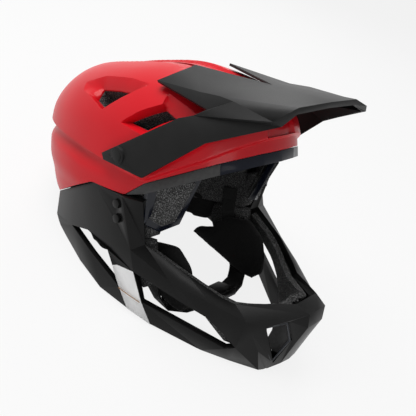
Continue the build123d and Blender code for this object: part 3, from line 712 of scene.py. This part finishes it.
# A thin bronze line runs along the fold of each white panel. It is printed with the panel, and is
# made here as a fine bead, so that it keeps its width from every side.
DECAL_FOLD = ((101.9, 18.6, -42.3), (101.2, 12.0, -44.6), (96.6, -4.9, -52.2))
DECAL_LINE = 0.0004
bronze = Finish("bronze_line", Roughness=0.4, Metallic=0.8)
bronze.feed(Base_Color=bronze.ramp(
    bronze.noise(600.0), (0.3, (0.20, 0.10, 0.045)), (0.7, (0.28, 0.15, 0.07)),
))
for name, side in SIDES:
    fold = [(side * x, y, z) for x, y, z in DECAL_FOLD]
    bead("panel_line_" + name, fold, DECAL_LINE, bronze, closed=False)

# The pads are brushed knit over soft foam, cut and sewn, and held by hook tape to the foam behind.
# Cloth simulation swells the cheek pads by a fifth and the crown pad by a tenth of their volume,
# and leaves the thin brow pad nearly as it is cut.
VOXEL = 0.004
PAD_PRESSURE, PAD_FRAMES = 4.0, 20
CHEEK_SWELL, THIN_SWELL = 0.0030, 0.0020
CHEEK_OUTLINE = (
    (-16, -4), (-33, -22), (-37, -42), (-35, -63), (-20, -73), (0, -67), (30, -53), (56, -42),
    (71, -36), (66, -29), (39, -20), (17, -5),
)
CHEEK_SECTIONS = ((62.0, 0.94), (57.0, 1.0), (52.0, 0.97), (49.5, 0.84))
knit = Finish(
    "pad_knit", Roughness=0.95, Specular_IOR_Level=0.1, Sheen_Weight=0.06, Sheen_Roughness=0.5,
)
knit.feed(Base_Color=knit.ramp(knit.noise(1800.0, 2.0), (0.35, grey(0.008)), (0.70, grey(0.026))))
knit.bump(knit.cells(1300.0), 0.35, 0.0004)


def plumped(name, node_name, work, cap):
    """Remeshes a closed form, lets it move by up to a cap as cloth with air inside, and pads it."""
    mesh = bpy.data.meshes.new(name + "_form")
    work.to_mesh(mesh)
    work.free()
    form = bpy.data.objects.new(name + "_form", mesh)
    bpy.context.scene.collection.objects.link(form)
    remesh = form.modifiers.new("remesh", "REMESH")
    remesh.mode, remesh.voxel_size = "VOXEL", VOXEL
    even = form.evaluated_get(bpy.context.evaluated_depsgraph_get())
    mesh = bpy.data.meshes.new_from_object(even)
    form.modifiers.clear()
    form.data = mesh
    cloth = form.modifiers.new("air", "CLOTH")
    cloth.settings.use_pressure = True
    cloth.settings.uniform_pressure_force = PAD_PRESSURE
    cloth.settings.effector_weights.gravity = 0.0
    for moment in range(PAD_FRAMES):
        bpy.context.scene.frame_set(moment + 1)
    swollen = form.evaluated_get(bpy.context.evaluated_depsgraph_get()).data
    for vert, grown in zip(mesh.vertices, [vert.co.copy() for vert in swollen.vertices]):
        move = grown - vert.co
        vert.co += move * min(1.0, cap / max(move.length, 1e-9))
    bpy.context.scene.frame_set(1)
    shaped = bmesh.new()
    shaped.from_mesh(mesh)
    bpy.data.objects.remove(form)
    for _ in range(2):
        bmesh.ops.smooth_vert(
            shaped, verts=shaped.verts, factor=0.5,
            use_axis_x=True, use_axis_y=True, use_axis_z=True,
        )
    piece = finished(name, shaped, knit, angle=180.0)
    rounder = piece.modifiers.new("round", "SUBSURF")
    rounder.levels = rounder.render_levels = 1
    if node_name:
        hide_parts(node_name)
    return piece


def next_section(work, face, first):
    """Extrudes the end face of a form where it stands. The first face stays as the cap, and each
    face in between stays too, as a wall inside the form."""
    made = bmesh.ops.extrude_face_region(work, geom=[face], use_keep_orig=first)["geom"]
    return only(bmesh.types.BMFace, made)[0]


centre_y, centre_z = np.mean(CHEEK_OUTLINE, axis=0)
for name, side in SIDES:
    work = bmesh.new()
    reach, size = CHEEK_SECTIONS[0]
    face = work.faces.new([
        work.verts.new((
            side * reach / 1000, (centre_y + (y - centre_y) * size) / 1000,
            (centre_z + (z - centre_z) * size) / 1000,
        )) for y, z in CHEEK_OUTLINE
    ])
    for i in range(1, len(CHEEK_SECTIONS)):
        before, (reach, size) = CHEEK_SECTIONS[i - 1][1], CHEEK_SECTIONS[i]
        face = next_section(work, face, i == 1)
        for vert in face.verts:
            vert.co.x = side * reach / 1000
            vert.co.y = centre_y / 1000 + (vert.co.y - centre_y / 1000) * size / before
            vert.co.z = centre_z / 1000 + (vert.co.z - centre_z / 1000) * size / before
    bmesh.ops.recalc_face_normals(work, faces=work.faces)
    plumped("cheek_cushion_" + name, "cheek_pad_" + name, work, CHEEK_SWELL)


# The brow and crown pads are thin strips on the inside of the foam. Places are in metres.
LINING_PAD_WALL = 0.0060
MIDDLE_SNAP = 0.002
BROW_FRONT, BROW_LOW, BROW_HIGH, BROW_DEPTH = -0.030, 0.088, 0.108, 0.0260
CROWN_HALF, CROWN_FRONT, CROWN_REAR, CROWN_LOW, CROWN_DEPTH = 0.0125, -0.030, 0.124, 0.128, 0.0262


def lining_form(kept, depth):
    """A plain strip of the head's lining, cut from the skin's form where kept() holds."""
    work = pad_skin.copy()
    left_out = [face for face in work.faces if not kept(face.calc_center_median())]
    bmesh.ops.delete(work, geom=left_out, context="FACES")
    out = {vert: vert.normal.copy() for vert in work.verts}
    for vert, normal in out.items():
        vert.co -= normal * depth
    for vert in work.verts:
        if abs(vert.co.x) < MIDDLE_SNAP:
            vert.co.x = 0.0
    mirrored(work, 1e-4)
    bmesh.ops.recalc_face_normals(work, faces=work.faces)
    bmesh.ops.solidify(work, geom=work.faces[:], thickness=LINING_PAD_WALL)
    return work


def at_brow(place):
    return place.y < BROW_FRONT and BROW_LOW < place.z < BROW_HIGH


def at_crown(place):
    between = CROWN_FRONT < place.y < CROWN_REAR
    return abs(place.x) < CROWN_HALF and between and place.z > CROWN_LOW


brow, crown = lining_form(at_brow, BROW_DEPTH), lining_form(at_crown, CROWN_DEPTH)
plumped("brow_cushion", "brow_pad", brow, THIN_SWELL)
plumped("crown_cushion", "crown_pad", crown, THIN_SWELL)
pad_skin.free()

# A soft roll of the same knit over foam closes the lower rear of the head opening, from ear to ear
# below the fit cradle. It is held to the foam behind it by hook tape.
NAPE_TOP = (
    (79, 34, 4), (79, 60, 10), (77, 85, 13), (71, 108, 13), (58, 130, 14), (38, 148, 14),
    (0, 160, 14),
)
NAPE_LOW = (
    (79, 36, -10), (78, 60, -24), (75, 85, -25), (69, 106, -16), (56, 127, -5), (37, 145, 2),
    (0, 156, 6),
)
NAPE_WALL = 0.006
work = bmesh.new()
rails = [[work.verts.new(Vector(corner) / 1000) for corner in row] for row in (NAPE_TOP, NAPE_LOW)]
for i in range(len(NAPE_TOP) - 1):
    work.faces.new((rails[0][i], rails[0][i + 1], rails[1][i + 1], rails[1][i]))
curved_sheet(work, 0.5, NAPE_WALL)
plumped("nape_roll", None, work, THIN_SWELL)

# A flat woven strap runs from each side of the foam, where it is anchored, behind the cheek pad and
# down to the buckle under the chin. From one point on, its width leans with the jaw.
STRAP_PATH = (
    (72.0, 25.0, 22.0), (69.5, 25.0, 9.0), (65.0, 24.0, -4.0), (64.8, 16.0, -42.0),
    (62.5, 7.0, -63.0), (55.0, 1.0, -70.5), (40.0, -8.0, -74.0), (15.6, -18.5, -71.5),
)
STRAP_WIDTH, STRAP_WALL, STRAP_EDGE = 0.019, 0.0018, 0.0006
STRAP_LEANS_FROM = 4
webbing = Finish("webbing", Roughness=0.8, Specular_IOR_Level=0.2)
ribs = webbing.node("ShaderNodeTexWave", {"bands_direction": "Z"}, {
    "Vector": webbing.place(), "Scale": 320.0, "Distortion": 1.0,
})
webbing.feed(Base_Color=webbing.ramp(
    webbing.noise(1400.0), (0.35, grey(0.008)), (0.70, grey(0.026)),
))
webbing.bump(ribs, 0.4, 0.0003)


def strap_section(i, side):
    """Four worn corners of the strap's section at one point of its path."""
    path = [Vector((side * x, y, z)) / 1000 for x, y, z in STRAP_PATH]
    along = (path[min(i + 1, len(path) - 1)] - path[max(i - 1, 0)]).normalized()
    lean = 0.0 if i < STRAP_LEANS_FROM else LEAN
    across = Vector((0.0, math.cos(lean), math.sin(lean)))
    across = (across - along * across.dot(along)).normalized()
    thick = along.cross(across) * STRAP_WALL / 2
    wide = across * STRAP_WIDTH / 2
    corners = ((wide, thick), (wide, -thick), (-wide, -thick), (-wide, thick))
    return [path[i] + a + b for a, b in corners]


for name, side in SIDES:
    work = bmesh.new()
    face = work.faces.new([work.verts.new(corner) for corner in strap_section(0, side)])
    for i in range(1, len(STRAP_PATH)):
        face = next_section(work, face, i == 1)
        before, corners = strap_section(i - 1, side), strap_section(i, side)
        for vert in face.verts:
            vert.co = corners[min(range(4), key=lambda k: (before[k] - vert.co).length)]
    bmesh.ops.recalc_face_normals(work, faces=work.faces)
    strap = finished("chin_strap_" + name, work, webbing, angle=50.0)
    rounding = strap.modifiers.new("edge", "BEVEL")
    rounding.width, rounding.segments, rounding.profile = STRAP_EDGE, 2, 0.5
    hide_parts("strap_" + name)

# The fit dial is ribbed rubber and turns on an axle at the back of the cradle. The buckle's release
# button is red plastic, set in the underside of the dark buckle.
dial = Finish("dial_rubber", Base_Color=(0.012, 0.012, 0.013, 1.0), Roughness=0.6)
dial.bump(dial.noise(1500.0), 0.1, 0.0002)
dress("fit_dial", dial, edge=0.0004)
button = Finish("button_red", Base_Color=(0.55, 0.012, 0.018, 1.0), Roughness=0.35)
button.bump(button.noise(1200.0), 0.05, 0.0002)
dress("buckle_button", button, edge=0.0006)

# A plain pale floor under the helmet. The camera, and what mirrors, sees it nearly white with a
# soft shadow, while the light that it throws back up comes from its pale colour alone.
FLOOR_REACH, FLOOR_GLOW = 6.0, 0.85
floor_work = bmesh.new()
bmesh.ops.create_grid(floor_work, x_segments=1, y_segments=1, size=FLOOR_REACH)
floor_mesh = bpy.data.meshes.new("floor")
floor_work.to_mesh(floor_mesh)
floor_work.free()
floor = bpy.data.objects.new("floor", floor_mesh)
bpy.context.scene.collection.objects.link(floor)
pale = Finish(
    "floor_pale", Base_Color=(0.80, 0.80, 0.80, 1.0), Roughness=0.95, Specular_IOR_Level=0.0,
)
glow = pale.node("ShaderNodeEmission", {}, {"Color": (1.0, 1.0, 1.0, 1.0), "Strength": 1.0})


def seen_directly(owner):
    """1 for rays from the camera and from what mirrors or is clear, 0 for light on a surface."""
    paths = [owner.node("ShaderNodeLightPath", {}, {}, name) for name in (
        "Is Camera Ray", "Is Glossy Ray", "Is Transmission Ray",
    )]
    return paths[0] + paths[1] + paths[2]


blend = pale.node("ShaderNodeMixShader", {}, {
    0: seen_directly(pale) * FLOOR_GLOW, 1: Socket(pale, pale.shader.outputs[0]), 2: glow,
})
pale.data.node_tree.links.new(pale.nodes["Material Output"].inputs["Surface"], blend.link)
floor_mesh.materials.append(pale.data)

# Soft studio light: one broad lamp overhead, one behind the left shoulder and a weak one in front.
# The empty studio is white to the camera and in reflections, and dim as a light.
AMBIENT = 0.22
world = bpy.data.worlds.new("studio")
bpy.context.scene.world = world
studio = Nodes(world)
sky = studio.nodes["Background"]
sky.inputs["Color"].default_value = (1.0, 1.0, 1.0, 1.0)
strength = AMBIENT + seen_directly(studio) * (1.0 - AMBIENT)
world.node_tree.links.new(sky.inputs["Strength"], strength.link)

LAMPS = (
    ("overhead", (-0.25, 0.35, 1.25), (0.0, 0.0, 0.15), 0.9, 13.0),
    ("front", (-0.9, -1.1, 0.50), (0.0, -0.05, 0.12), 0.7, 3.0),
    ("rear", (0.9, 0.8, 0.9), (0.0, 0.0, 0.12), 0.6, 4.0),
)
for name, spot, aim, size, power in LAMPS:
    data = bpy.data.lights.new(name, "AREA")
    data.shape, data.size, data.energy = "SQUARE", size, power
    lamp = bpy.data.objects.new(name, data)
    lamp.location = spot
    lamp.rotation_mode = "QUATERNION"
    lamp.rotation_quaternion = (Vector(aim) - Vector(spot)).to_track_quat("-Z", "Y")
    bpy.context.scene.collection.objects.link(lamp)
